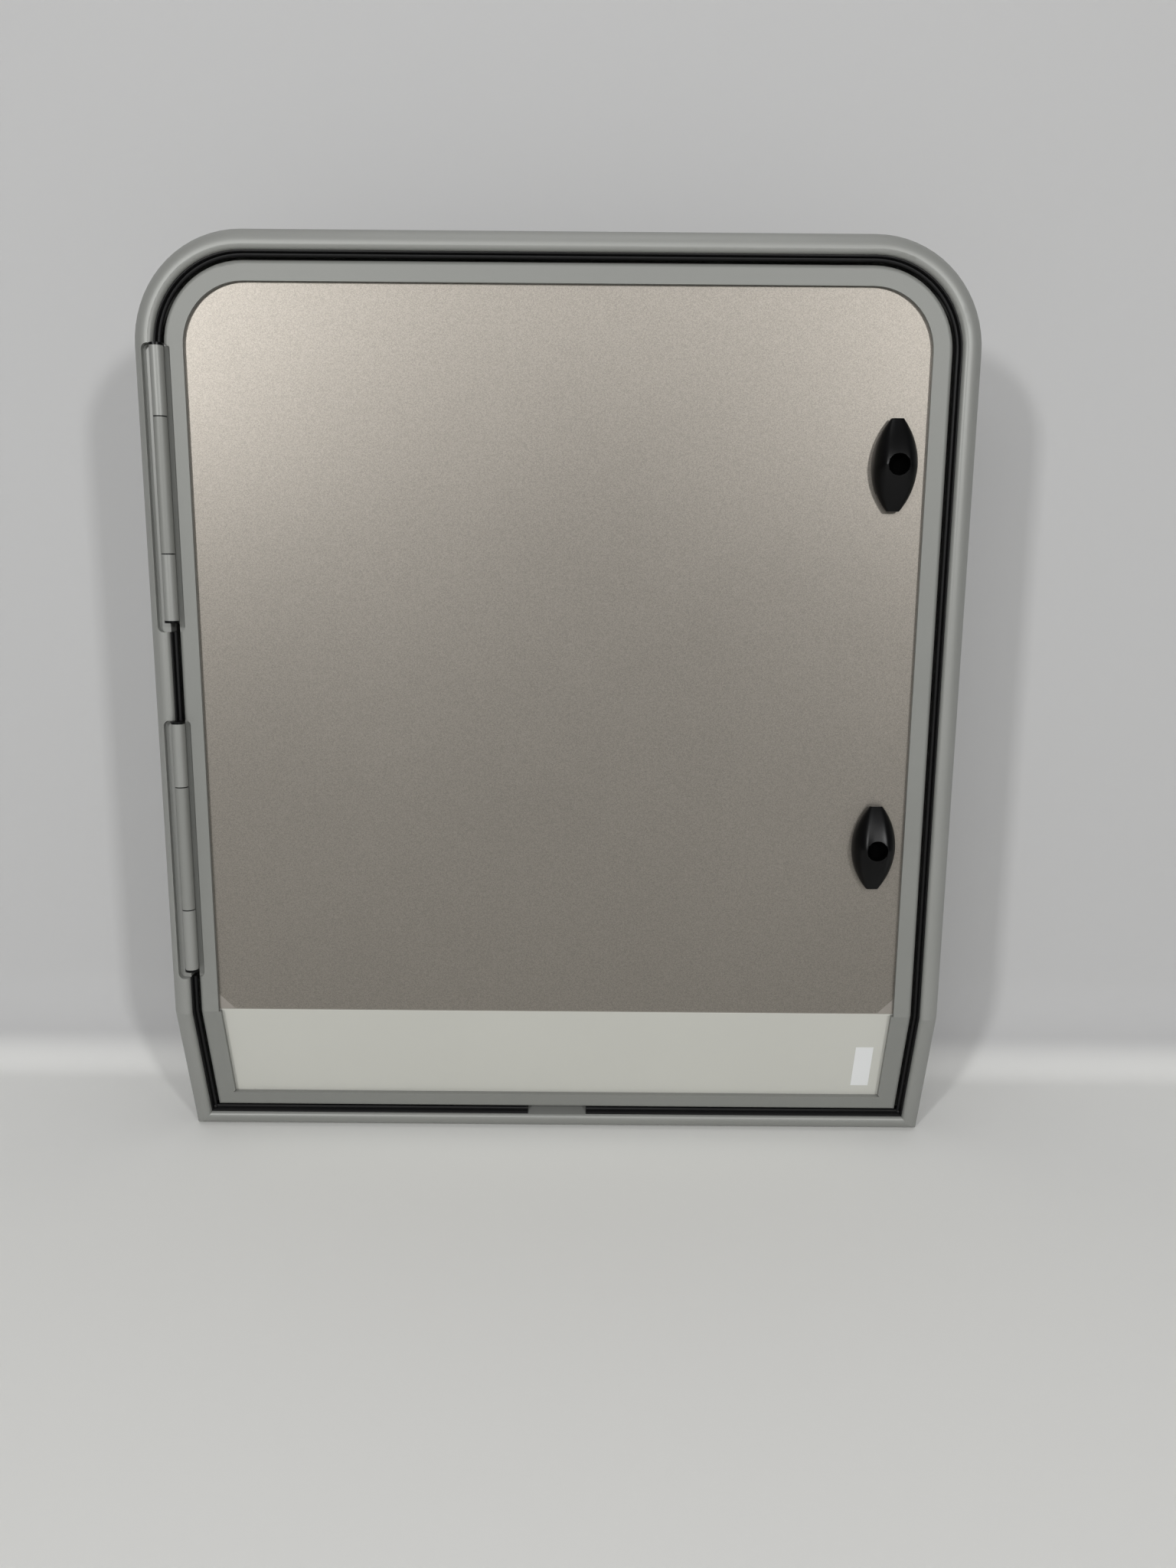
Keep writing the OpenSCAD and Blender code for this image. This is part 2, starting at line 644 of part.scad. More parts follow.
module lock_upper_housing() color([0.12, 0.12, 0.12]) housing(UPPER);
module lock_lower_housing() color([0.12, 0.12, 0.12]) housing(LOWER);
module lock_upper_washer() color([0.7, 0.7, 0.7]) lock_washer(UPPER);
module lock_lower_washer() color([0.7, 0.7, 0.7]) lock_washer(LOWER);
module lock_upper_nut() color([0.15, 0.15, 0.15]) lock_nut(UPPER);
module lock_lower_nut() color([0.15, 0.15, 0.15]) lock_nut(LOWER);
module lock_upper_knob() color([0.06, 0.06, 0.06]) knob(UPPER);
module lock_lower_knob() color([0.06, 0.06, 0.06]) knob(LOWER);
module lock_upper_spindle() color([0.65, 0.65, 0.65]) spindle(UPPER);
module lock_lower_spindle() color([0.65, 0.65, 0.65]) spindle(LOWER);
module lock_upper_tongue() color([0.7, 0.7, 0.72]) tongue(UPPER);
module lock_lower_tongue() color([0.7, 0.7, 0.72]) tongue(LOWER);
module lock_upper_tongue_washer() color([0.75, 0.75, 0.75]) tongue_washer(UPPER);
module lock_lower_tongue_washer() color([0.75, 0.75, 0.75]) tongue_washer(LOWER);
module lock_upper_tongue_screw() color([0.75, 0.75, 0.75]) tongue_screw(UPPER);
module lock_lower_tongue_screw() color([0.75, 0.75, 0.75]) tongue_screw(LOWER);

frame_hoop();
frame_sill();
frame_cleat_left();
frame_cleat_right();
gap_seal();
stop_seal();
hinge_upper_frame_wing();
hinge_lower_frame_wing();
hinge_upper_pin();
hinge_lower_pin();
hinge_upper_washers();
hinge_lower_washers();
hinge_upper_caps();
hinge_lower_caps();
hinge_upper_frame_screws();
hinge_lower_frame_screws();
leaf_hoop();
leaf_sill();
leaf_key_left();
leaf_key_right();
decor_sheet();
outer_sheet();
foam_core();
inner_lining();
hinge_upper_door_wing();
hinge_lower_door_wing();
hinge_upper_bush();
hinge_lower_bush();
hinge_upper_door_screws();
hinge_lower_door_screws();
blank_label();
lock_upper_housing();
lock_lower_housing();
lock_upper_washer();
lock_lower_washer();
lock_upper_nut();
lock_lower_nut();
lock_upper_knob();
lock_lower_knob();
lock_upper_spindle();
lock_lower_spindle();
lock_upper_tongue();
lock_lower_tongue();
lock_upper_tongue_washer();
lock_lower_tongue_washer();
lock_upper_tongue_screw();
lock_lower_tongue_screw();
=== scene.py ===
"""Looks for a caravan service door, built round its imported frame.

The rails, sheets, hinges and hidden pieces keep their CAD meshes and get a finish each. The turn
knobs, the weather seal, the film's edge and the backdrop are modelled here. Sizes are in metres.
"""

import logging
import math
from collections.abc import Callable
from dataclasses import dataclass, field
from enum import Enum

import bmesh
import bpy
from mathutils import Euler, Matrix, Vector


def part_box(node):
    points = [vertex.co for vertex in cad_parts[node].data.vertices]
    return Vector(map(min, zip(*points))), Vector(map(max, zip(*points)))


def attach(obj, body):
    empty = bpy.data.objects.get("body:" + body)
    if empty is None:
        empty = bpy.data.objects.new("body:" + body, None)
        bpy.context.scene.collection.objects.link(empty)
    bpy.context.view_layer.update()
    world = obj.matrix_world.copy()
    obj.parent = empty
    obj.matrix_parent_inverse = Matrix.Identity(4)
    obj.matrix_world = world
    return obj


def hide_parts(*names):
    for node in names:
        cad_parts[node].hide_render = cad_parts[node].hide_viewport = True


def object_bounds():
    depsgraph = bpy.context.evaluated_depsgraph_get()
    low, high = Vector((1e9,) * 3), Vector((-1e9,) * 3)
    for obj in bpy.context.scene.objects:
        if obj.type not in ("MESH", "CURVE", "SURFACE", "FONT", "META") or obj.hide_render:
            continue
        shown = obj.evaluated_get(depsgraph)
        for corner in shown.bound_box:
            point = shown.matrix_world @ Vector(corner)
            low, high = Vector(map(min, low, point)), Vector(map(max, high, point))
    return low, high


LOG = logging.getLogger("service_door")
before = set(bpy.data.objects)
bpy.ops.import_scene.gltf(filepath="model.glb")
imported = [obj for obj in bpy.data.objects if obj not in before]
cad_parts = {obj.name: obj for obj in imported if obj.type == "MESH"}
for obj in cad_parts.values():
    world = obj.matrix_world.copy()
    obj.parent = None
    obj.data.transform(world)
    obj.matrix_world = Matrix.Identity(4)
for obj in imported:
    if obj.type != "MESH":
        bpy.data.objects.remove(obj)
CAD_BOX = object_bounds()

Colour = tuple[float, float, float]
Point = tuple[float, float, float]


class Body(Enum):
    """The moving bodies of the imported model."""

    FRAME = "frame"
    DOOR = "door"
    LOCK_UPPER = "lock_upper"
    LOCK_LOWER = "lock_lower"


class Term:
    """A value socket that takes part in shader maths with plain operators."""

    def __init__(self, book: "NodeBook", socket: bpy.types.NodeSocket) -> None:
        """Keeps the socket and the book of nodes that it belongs to."""
        self.book = book
        self.socket = socket

    def _math(self, operation: str, left: "Term | float", right: "Term | float") -> "Term":
        """Adds one Math node."""
        return self.book.add("ShaderNodeMath", {"operation": operation}, {0: left, 1: right})

    def __add__(self, other: "Term | float") -> "Term":
        """Adds."""
        return self._math("ADD", self, other)

    def __radd__(self, other: float) -> "Term":
        """Adds to a number."""
        return self._math("ADD", other, self)

    def __sub__(self, other: "Term | float") -> "Term":
        """Subtracts."""
        return self._math("SUBTRACT", self, other)

    def __rsub__(self, other: float) -> "Term":
        """Subtracts from a number."""
        return self._math("SUBTRACT", other, self)

    def __mul__(self, other: "Term | float") -> "Term":
        """Multiplies."""
        return self._math("MULTIPLY", self, other)

    def __rmul__(self, other: float) -> "Term":
        """Multiplies a number."""
        return self._math("MULTIPLY", other, self)


class NodeBook:
    """The node tree of one material, with one method for every kind of node."""

    def __init__(self, tree: bpy.types.NodeTree) -> None:
        """Takes an empty node tree."""
        self.tree = tree
        self.tree.nodes.clear()

    def add(self, kind: str, settings: dict | None = None, inputs: dict | None = None,
            output: int | str = 0) -> Term:
        """Adds a node, sets its settings first and then its sockets.

        Args:
            kind: The node's type.
            settings: The node's properties, with "stops" for a ramp's positions and colours.
            inputs: Values or links by socket name or number.
            output: The output to hand back.

        Returns:
            The chosen output.
        """
        node = self.tree.nodes.new(kind)
        for key, value in (settings or {}).items():
            if key == "stops":
                self._set_stops(node.color_ramp, value)
            else:
                setattr(node, key, value)
        for key, value in (inputs or {}).items():
            if isinstance(value, Term):
                self.tree.links.new(value.socket, node.inputs[key])
            else:
                node.inputs[key].default_value = value
        return Term(self, node.outputs[output] if node.outputs else None)

    @staticmethod
    def _set_stops(ramp: bpy.types.ColorRamp, stops: list[tuple[float, tuple]]) -> None:
        """Gives a ramp its stops."""
        while len(ramp.elements) < len(stops):
            ramp.elements.new(0.5)
        for element, (position, colour) in zip(ramp.elements, stops):
            element.position = position
            element.color = colour

    def blend(self, share: Term, low: Colour, high: Colour) -> Term:
        """Mixes two colours by a share from 0 to 1."""
        return self.add("ShaderNodeMix", {"data_type": "RGBA"},
                        {"Factor": share, 6: (*low, 1.0), 7: (*high, 1.0)}, 2)


@dataclass(frozen=True)
class Finish:
    """A surface with a fine grain and a broad, faint unevenness.

    Grain and cloud are waves per metre; the tones are shares of the colour.
    """

    name: str
    colour: Colour
    roughness: float = 0.4
    metallic: float = 0.0
    grain: float = 1800.0
    grain_tone: float = 0.05
    grain_height: float = 0.00002
    cloud: float = 9.0
    cloud_tone: float = 0.05
    rough_spread: float = 0.08
    coat: float = 0.0
    specular: float = 0.5

    def speckle(self, book: NodeBook, place: Term) -> Term:
        """The fine grain, from 0 to 1."""
        return book.add("ShaderNodeTexNoise", None, {
            "Vector": place, "Scale": self.grain, "Detail": 2.0})

    def relief(self, book: NodeBook, place: Term, speckle: Term) -> Term:
        """The height that bends the light, in shares of grain_height."""
        return speckle

    def tint(self, book: NodeBook, place: Term, share: Term) -> Term:
        """The colour, a little darker or lighter by grain and cloud."""
        spread = self.grain_tone + self.cloud_tone
        return book.blend(share, self.shade(1.0 - spread), self.shade(1.0 + spread))

    def shade(self, factor: float) -> Colour:
        """The colour, scaled."""
        return tuple(min(1.0, channel * factor) for channel in self.colour)

    def material(self) -> bpy.types.Material:
        """Builds the material.

        Returns:
            The finished material.
        """
        made = bpy.data.materials.new(self.name)
        made.use_nodes = True
        book = NodeBook(made.node_tree)
        place = book.add("ShaderNodeTexCoord", None, None, "Object")
        speckle = self.speckle(book, place)
        cloud = book.add("ShaderNodeTexNoise", None, {
            "Vector": place, "Scale": self.cloud, "Detail": 3.0})
        spread = self.grain_tone + self.cloud_tone
        share = (speckle * self.grain_tone + cloud * self.cloud_tone) * (1.0 / spread)
        tint = self.tint(book, place, share)
        rough = (cloud - 0.5) * self.rough_spread + self.roughness
        bump = book.add("ShaderNodeBump", None, {
            "Strength": 1.0, "Distance": self.grain_height,
            "Height": self.relief(book, place, speckle)})
        surface = book.add("ShaderNodeBsdfPrincipled", None, {
            "Base Color": tint, "Roughness": rough, "Metallic": self.metallic, "Normal": bump,
            "Coat Weight": self.coat, "Coat Roughness": 0.2, "Specular IOR Level": self.specular})
        book.add("ShaderNodeOutputMaterial", None, {"Surface": surface})
        return made


@dataclass(frozen=True)
class FlakeFinish(Finish):
    """A metallic paint whose flakes each catch the light a little differently."""

    def speckle(self, book: NodeBook, place: Term) -> Term:
        """A random brightness for each flake."""
        flakes = book.add("ShaderNodeTexVoronoi", None, {
            "Vector": place, "Scale": self.grain}, "Color")
        return book.add("ShaderNodeSeparateColor", None, {"Color": flakes})


@dataclass(frozen=True)
class PebbledFinish(Finish):
    """A sheet or foam with rounded pebbles or cells."""

    def relief(self, book: NodeBook, place: Term, speckle: Term) -> Term:
        """The distance to the nearest pebble's middle."""
        return book.add("ShaderNodeTexVoronoi", None, {
            "Vector": place, "Scale": self.grain * 0.5}, "Distance")


@dataclass(frozen=True)
class PaintedLightSweepFinish(Finish):
    """A sheet whose floor is painted lighter than its wall, as painted light on one and the same
    sheet.
    """

    # The floor's colour: the wall's sheet painted lighter, as painted light.
    floor: Colour = (0.82, 0.82, 0.8)
    level: float = -0.79
    fade: float = 0.03

    def tint(self, book: NodeBook, place: Term, share: Term) -> Term:
        """Fades from the floor's lighter tone, which is painted light, to the wall's over the
        sweep.
        """
        height = book.add("ShaderNodeSeparateXYZ", None, {"Vector": place}, "Z")
        rise = book.add("ShaderNodeMapRange", {"interpolation_type": "SMOOTHSTEP"}, {
            "Value": height, "From Min": self.level, "From Max": self.level + self.fade})
        return book.blend(rise, self.floor, self.colour)


@dataclass(frozen=True)
class Palette:
    """Every finish of the door."""

    frame_coat: Finish = Finish(
        "frame_coat", (0.262, 0.266, 0.252), 0.45, 0.25, 2600, 0.05, 0.00001)
    # The leaf's coat is the frame's paint again, made darker and duller as painted shade on the
    # leaf's flat faces.
    leaf_coat_painted_shade: Finish = Finish(
        "leaf_coat_painted_shade", (0.215, 0.219, 0.205), 0.5, 0.15, 2600, 0.05, 0.00001)
    champagne: Finish = FlakeFinish(
        "champagne", (0.26, 0.24, 0.212), 0.43, 0.94, 1700, 0.16, 0.000012, 5, 0.03)
    off_white: Finish = Finish(
        "off_white", (0.50, 0.50, 0.46), 0.42, 0.0, 1500, 0.02, 0.000008, 6, 0.03)
    rubber: Finish = Finish(
        "seal_rubber", (0.003, 0.003, 0.0033), 0.5, 0.0, 1600, 0.2, 0.00002, 40, 0.2,
        specular=0.25)
    moulding: Finish = Finish(
        "black_moulding", (0.0016, 0.0016, 0.0018), 0.3, 0.0, 2400, 0.2, 0.00003, 60, 0.15,
        specular=0.17)
    # The socket's dull black is painted shade, darker and duller than the knob's own moulding.
    socket: Finish = Finish(
        "socket_painted_shade", (0.001, 0.001, 0.001), 0.9, 0.0, 2400, 0.1, 0.00001, 60, 0.1,
        specular=0.02)
    nylon: Finish = Finish("nylon", (0.78, 0.76, 0.7), 0.45, 0.0, 1500, 0.03, 0.00001, 60, 0.05)
    zinc: Finish = Finish("zinc", (0.6, 0.61, 0.63), 0.3, 1.0, 900, 0.1, 0.00001, 70, 0.12)
    mill: Finish = Finish(
        "mill_aluminium", (0.66, 0.66, 0.67), 0.38, 1.0, 1300, 0.08, 0.00001, 40, 0.1)
    lining: Finish = PebbledFinish(
        "lining", (0.78, 0.78, 0.76), 0.5, 0.0, 900, 0.03, 0.0002, 8, 0.03)
    foam: Finish = PebbledFinish(
        "foam", (0.83, 0.77, 0.58), 0.8, 0.0, 1400, 0.12, 0.0005, 20, 0.08)
    film: Finish = Finish(
        "clear_film", (0.25, 0.23, 0.205), 0.3, 0.0, 900, 0.05, 0.00001, 40, 0.08)
    paper: Finish = Finish(
        "label_paper", (0.68, 0.69, 0.69), 0.5, 0.0, 2200, 0.03, 0.00001, 30, 0.02)


class Workshop:
    """Holds the built materials and puts pieces into the scene."""

    def __init__(self, palette: Palette) -> None:
        """Builds no material before it is asked for."""
        self.palette = palette
        self.made: dict[str, bpy.types.Material] = {}

    def material(self, finish: Finish) -> bpy.types.Material:
        """The material of a finish, built once."""
        if finish.name not in self.made:
            self.made[finish.name] = finish.material()
        return self.made[finish.name]

    def dress(self, finish: Finish, *nodes: str) -> None:
        """Gives CAD nodes a finish.

        Args:
            finish: The finish.
            nodes: The names of the nodes.
        """
        for node in nodes:
            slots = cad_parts[node].data.materials
            slots.clear()
            slots.append(self.material(finish))
            LOG.info("%s keeps its CAD mesh, in %s", node, finish.name)

    def piece(self, mesh: bmesh.types.BMesh, name: str, finish: Finish, body: Body,
              replaced: tuple[str, ...] = (), smooth: float = 35.0) -> bpy.types.Object:
        """Makes a piece of a finished bmesh and lets it ride on its body.

        Args:
            mesh: The shape, in the part's own frame.
            name: The piece's name.
            finish: Its finish.
            body: The body that carries it.
            replaced: CAD nodes that it stands for.
            smooth: Faces that meet at less than this angle, in degrees, shade smoothly.

        Returns:
            The object.
        """
        data = bpy.data.meshes.new(name)
        mesh.to_mesh(data)
        mesh.free()
        data.shade_smooth()
        data.set_sharp_from_angle(angle=math.radians(smooth))
        made = bpy.data.objects.new(name, data)
        bpy.context.scene.collection.objects.link(made)
        data.materials.append(self.material(finish))
        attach(made, body.value)
        if replaced:
            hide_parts(*replaced)
        LOG.info("%s made, in %s", name, finish.name)
        return made


Station = Callable[[float, float], Vector]
Section = list[tuple[float, float]]


@dataclass(frozen=True)
class Ring:
    """The line that frame and leaf follow: two sides, a round top, and a part folded back.

    A station turns an inset from the outer edge and a depth into a point of the part's frame.
    """

    half_wide: float = 0.35
    top: float = 0.00825
    fold: float = -0.66375
    foot: float = 0.138
    corner: float = 0.092
    lean: float = math.radians(18)
    steps: int = 20

    def side(self, sign: int, height: float) -> Station:
        """A station on a side above the fold."""
        return lambda inset, depth: Vector((sign * (self.half_wide - inset), depth, height))

    def bend(self, sign: int, share: float) -> Station:
        """A station in a top corner, from the side at 0 to the top at 1."""
        angle = share * math.pi / 2

        def place(inset: float, depth: float) -> Vector:
            radius = self.corner - inset
            return Vector((
                sign * (self.half_wide - self.corner + radius * math.cos(angle)), depth,
                self.top - self.corner + radius * math.sin(angle)))
        return place

    def crease(self, sign: int) -> Station:
        """The station in the mitre plane of the fold."""
        rise = math.tan(self.lean / 2)
        return lambda inset, depth: Vector((
            sign * (self.half_wide - inset), depth, self.fold + depth * rise))

    def folded(self, across: float, down: float, depth: float) -> Vector:
        """A point of the folded part."""
        return Vector((across, down * math.sin(self.lean) + depth * math.cos(self.lean),
                       self.fold - down * math.cos(self.lean) + depth * math.sin(self.lean)))

    def mitre(self, sign: int) -> Station:
        """The station in a lower corner."""
        return lambda inset, depth: self.folded(
            sign * (self.half_wide - inset), self.foot - inset, depth)

    def sill(self, across: float) -> Station:
        """A station on the sill."""
        return lambda inset, depth: self.folded(across, self.foot - inset, depth)

    def over_top(self) -> list[Station]:
        """The stations of both bends and the top, from left to right."""
        shares = [step / self.steps for step in range(self.steps + 1)]
        return [*(self.bend(-1, share) for share in shares),
                *(self.bend(1, share) for share in reversed(shares))]

    @staticmethod
    def sweep(mesh: bmesh.types.BMesh, section: Section, stations: list[Station]) -> None:
        """Runs a closed section along stations and caps both ends.

        Args:
            mesh: The mesh that takes the run.
            section: Insets and depths.
            stations: At least two stations.
        """
        loops = [[mesh.verts.new(place(*point)) for point in section] for place in stations]
        count = len(section)
        for near, far in zip(loops, loops[1:]):
            for k in range(count):
                mesh.faces.new((near[k], near[(k + 1) % count], far[(k + 1) % count], far[k]))
        mesh.faces.new(loops[0])
        mesh.faces.new(loops[-1][::-1])


@dataclass
class Knob:
    """A turn knob: a lens outline, a flat spine that falls to both tips, and a round socket."""

    node: str
    body: Body
    half_len: float = 0.0378
    half_wide: float = 0.019
    tip_half: float = 0.0054
    spine_half: float = 0.0092
    spine_tip: float = 0.0046
    crest: float = 0.0200
    tip_height: float = 0.0068
    rim: float = 0.0040
    spine_taper: float = 0.8
    crest_fall: float = 1.5
    edge_drop: float = 0.0004
    flank_fall: float = 0.75
    flank_swell: float = 0.55
    socket_r: float = 0.0090
    socket_deep: float = 0.0120
    # The painted shade in the socket starts this far in from the crest.
    painted_shade_from: float = 0.0003
    undercut_start: float = 0.0235
    undercut_height: float = 0.0037
    cutter_reach: float = 0.02
    rows: int = 48
    columns: int = 36

    def half_width(self, along: float) -> float:
        """Half the lens's width at a share of its half length."""
        side = self.half_wide - self.tip_half
        radius = (self.half_len ** 2 + side ** 2) / (2 * side)
        return self.half_wide - radius + math.sqrt(radius ** 2 - (along * self.half_len) ** 2)

    def height(self, across: float, along: float) -> float:
        """The body's height over the leaf, across and along in shares from -1 to 1."""
        wide = self.half_width(along)
        narrowing = (1 - abs(along)) ** self.spine_taper
        spine = self.spine_tip + (self.spine_half - self.spine_tip) * narrowing
        lift = 1 - abs(along) ** self.crest_fall
        top = self.tip_height + (self.crest - self.tip_height) * lift
        offset = abs(across) * wide
        if offset <= spine:
            return top - self.edge_drop * (offset / spine) ** 4
        fall = (offset - spine) / (wide - spine)
        flank = (1 - fall) ** self.flank_fall * (1 + self.flank_swell * fall)
        return self.rim + (top - self.edge_drop - self.rim) * flank

    def build(self, shop: Workshop) -> None:
        """Shapes a grid into the knob, closes it downwards, cuts its socket and undercuts its tips.

        Args:
            shop: The workshop.
        """
        low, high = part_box(self.node)
        centre = (low + high) / 2
        centre.y = high.y
        mesh = bmesh.new()
        bmesh.ops.create_grid(mesh, x_segments=self.columns, y_segments=self.rows, size=1.0)
        for vertex in mesh.verts:
            across, along = vertex.co.x, vertex.co.y
            vertex.co = Vector((
                centre.x + across * self.half_width(along),
                -self.height(across, along),
                centre.z + along * self.half_len))
        rim = [edge for edge in mesh.edges if edge.is_boundary]
        skirt = bmesh.ops.extrude_edge_only(mesh, edges=rim)["geom"]
        for vertex in (item for item in skirt if isinstance(item, bmesh.types.BMVert)):
            vertex.co.y = centre.y
        bmesh.ops.contextual_create(mesh, geom=[e for e in mesh.edges if e.is_boundary])
        bmesh.ops.recalc_face_normals(mesh, faces=mesh.faces)
        body = shop.piece(mesh, self.node + "_moulding", shop.palette.moulding, self.body,
                          (self.node,), 40.0)
        self.cut(body, self.cutter(centre))
        # The socket's inside takes painted shade.
        self.paint_socket_shade(body, centre, shop.material(shop.palette.socket))

    def cutter(self, centre: Vector) -> bmesh.types.BMesh:
        """The socket's cylinder and a block under each tip.

        Args:
            centre: The knob's middle, at its back.

        Returns:
            The mesh to take away.
        """
        mesh = bmesh.new()
        floor = -self.crest + self.socket_deep
        reach = self.cutter_reach
        place = Matrix.Translation((centre.x, floor - reach / 2, centre.z))
        bmesh.ops.create_cone(
            mesh, cap_ends=True, segments=64, radius1=self.socket_r, radius2=self.socket_r,
            depth=reach, matrix=place @ Matrix.Rotation(math.radians(90), 4, "X"))
        block = Matrix.Diagonal((3 * reach, reach, reach, 1.0))
        for sign in (-1, 1):
            middle = (centre.x, reach / 2 - self.undercut_height,
                      centre.z + sign * (self.undercut_start + reach / 2))
            bmesh.ops.create_cube(mesh, size=1.0, matrix=Matrix.Translation(middle) @ block)
        return mesh

    @staticmethod
    def cut(body: bpy.types.Object, cutter: bmesh.types.BMesh) -> None:
        """Takes a closed mesh away from a piece.

        Args:
            body: The piece.
            cutter: The mesh to take away, which is freed.
        """
        data = bpy.data.meshes.new("cutter")
        cutter.to_mesh(data)
        cutter.free()
        tool = bpy.data.objects.new("cutter", data)
        bpy.context.scene.collection.objects.link(tool)
        step = body.modifiers.new("cut", "BOOLEAN")
        step.operation = "DIFFERENCE"
        step.object = tool
        step.solver = "EXACT"
        graph = bpy.context.evaluated_depsgraph_get()
        result = bpy.data.meshes.new_from_object(body.evaluated_get(graph))
        body.modifiers.clear()
        old = body.data
        body.data = result
        bpy.data.meshes.remove(old)
        bpy.data.objects.remove(tool)

    def paint_socket_shade(self, body: bpy.types.Object, centre: Vector, painted_shade: bpy.types.Material) -> None:
        """Paints the socket's wall and floor a dull black without sheen, as painted shade inside
        the hole.

        Args:
            body: The knob.
            centre: Its middle.
            painted_shade: The dull black.
        """
        body.data.materials.append(painted_shade)
        slack = 0.0001
        for face in body.data.polygons:
            away = math.hypot(face.center.x - centre.x, face.center.z - centre.z)
            depth = face.center.y + self.crest
            if away < self.socket_r + slack and self.painted_shade_from < depth < self.socket_deep + slack:
                face.material_index = 1


@dataclass
class FilmEdge:
    """The thin edge of clear film along the border of the two sheets, turned up at both ends."""

    half_long: float = 0.3095
    tall: float = 0.0006
    flap: float = 0.014
    thick: float = 0.00006
    lift: float = 0.0002
    stand_off: float = 0.2

    def build(self, shop: Workshop) -> None:
        """Makes the strip and its two small triangles.

        Args:
            shop: The workshop.
        """
        low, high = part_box("decor_sheet")
        middle, front, edge = (low.x + high.x) / 2, low.y - self.thick, low.z + self.lift
        end, inner = self.half_long, self.half_long - self.flap
        outline = [(-end, 0.0), (end, 0.0), (end, self.flap),
                   (inner, self.tall), (-inner, self.tall), (-end, self.flap)]
        mesh = bmesh.new()
        corners = [mesh.verts.new((middle + x, front, edge + z)) for x, z in outline]
        face = mesh.faces.new(corners)
        back = bmesh.ops.extrude_face_region(mesh, geom=[face])["geom"]
        bmesh.ops.translate(mesh, verts=[v for v in back if isinstance(v, bmesh.types.BMVert)],
                            vec=(0, self.thick * (1 - self.stand_off), 0))
        bmesh.ops.recalc_face_normals(mesh, faces=mesh.faces)
        shop.piece(mesh, "film_edge", shop.palette.film, Body.DOOR)


@dataclass
class Leaf:
    """The leaf: rim, sandwich sheets, label and its side of the hinges."""

    knobs: list[Knob] = field(default_factory=lambda: [
        Knob("lock_upper_knob", Body.LOCK_UPPER), Knob("lock_lower_knob", Body.LOCK_LOWER)])
    film: FilmEdge = field(default_factory=FilmEdge)

    def build(self, shop: Workshop) -> None:
        """Dresses the CAD nodes and adds the knobs and the film's edge.

        Args:
            shop: The workshop.
        """
        colours = shop.palette
        # The rim, sill and door wings wear the frame's paint darkened as painted shade.
        shop.dress(colours.leaf_coat_painted_shade, "leaf_hoop", "leaf_sill")
        shop.dress(colours.champagne, "decor_sheet")
        shop.dress(colours.off_white, "outer_sheet")
        shop.dress(colours.foam, "foam_core")
        shop.dress(colours.lining, "inner_lining")
        shop.dress(colours.paper, "blank_label")
        shop.dress(colours.mill, "leaf_key_left", "leaf_key_right")
        for hinge in ("hinge_upper", "hinge_lower"):
            shop.dress(colours.leaf_coat_painted_shade, f"{hinge}_door_wing")
            shop.dress(colours.nylon, f"{hinge}_bush")
            shop.dress(colours.zinc, f"{hinge}_door_screws")
        for lock in ("lock_upper", "lock_lower"):
            shop.dress(colours.moulding, f"{lock}_housing", f"{lock}_nut")
            shop.dress(colours.zinc, f"{lock}_washer", f"{lock}_spindle", f"{lock}_tongue",
                       f"{lock}_tongue_washer", f"{lock}_tongue_screw")
        for knob in self.knobs:
            knob.build(shop)
        self.film.build(shop)


@dataclass
class GapSeal:
    """The rubber seal on the frame's inner wall: a foot up to the nose, and a round bulb."""

    ring: Ring = Ring()
    wall: float = 0.0165
    foot: float = 0.0014
    front: float = -0.0043
    back: float = 0.009
    bulb_r: float = 0.0020
    bulb_in: float = 0.0027
    bulb_depth: float = 0.0008
    notch: float = 0.028
    chamfer_in: float = 0.0004
    chamfer_deep: float = 0.0005
    lump_r: float = 0.0026
    below_caps: float = 0.008
    sides: int = 20

    def sections(self) -> list[Section]:
        """The outlines of foot and bulb."""
        inner = self.wall + self.foot
        foot = [(self.wall, self.front), (inner - self.chamfer_in, self.front),
                (inner, self.front + self.chamfer_deep), (inner, self.back), (self.wall, self.back)]
        turns = [2 * math.pi * k / self.sides for k in range(self.sides)]
        bulb = [(self.wall + self.bulb_in + self.bulb_r * math.cos(turn),
                 self.bulb_depth + self.bulb_r * math.sin(turn)) for turn in turns]
        return [foot, bulb]

    def runs(self) -> list[list[Station]]:
        """The three lengths: over the top, between the hinges, and below them."""
        ring = self.ring
        (low_end, low_top), (high_end, high_top) = [
            (low.z - self.below_caps, high.z) for low, high in (
                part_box("hinge_lower_caps"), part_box("hinge_upper_caps"))]
        return [
            [ring.side(-1, high_top), *ring.over_top(), ring.crease(1), ring.mitre(1),
             ring.sill(self.notch)],
            [ring.side(-1, low_top), ring.side(-1, high_end)],
            [ring.side(-1, low_end), ring.crease(-1), ring.mitre(-1), ring.sill(-self.notch)]]

    def build(self, shop: Workshop) -> None:
        """Sweeps the seal and adds the lumps where two lengths meet in a lower corner.

        Args:
            shop: The workshop.
        """
        mesh = bmesh.new()
        for run in self.runs():
            for section in self.sections():
                self.ring.sweep(mesh, section, run)
        for sign in (-1, 1):
            place = self.ring.mitre(sign)(self.wall + self.lump_r, 0.0)
            bmesh.ops.create_uvsphere(mesh, u_segments=24, v_segments=16, radius=self.lump_r,
                                      matrix=Matrix.Translation(place))
        bmesh.ops.recalc_face_normals(mesh, faces=mesh.faces)
        shop.piece(mesh, "gap_seal_rubber", shop.palette.rubber, Body.FRAME,
                   ("gap_seal",), 40.0)


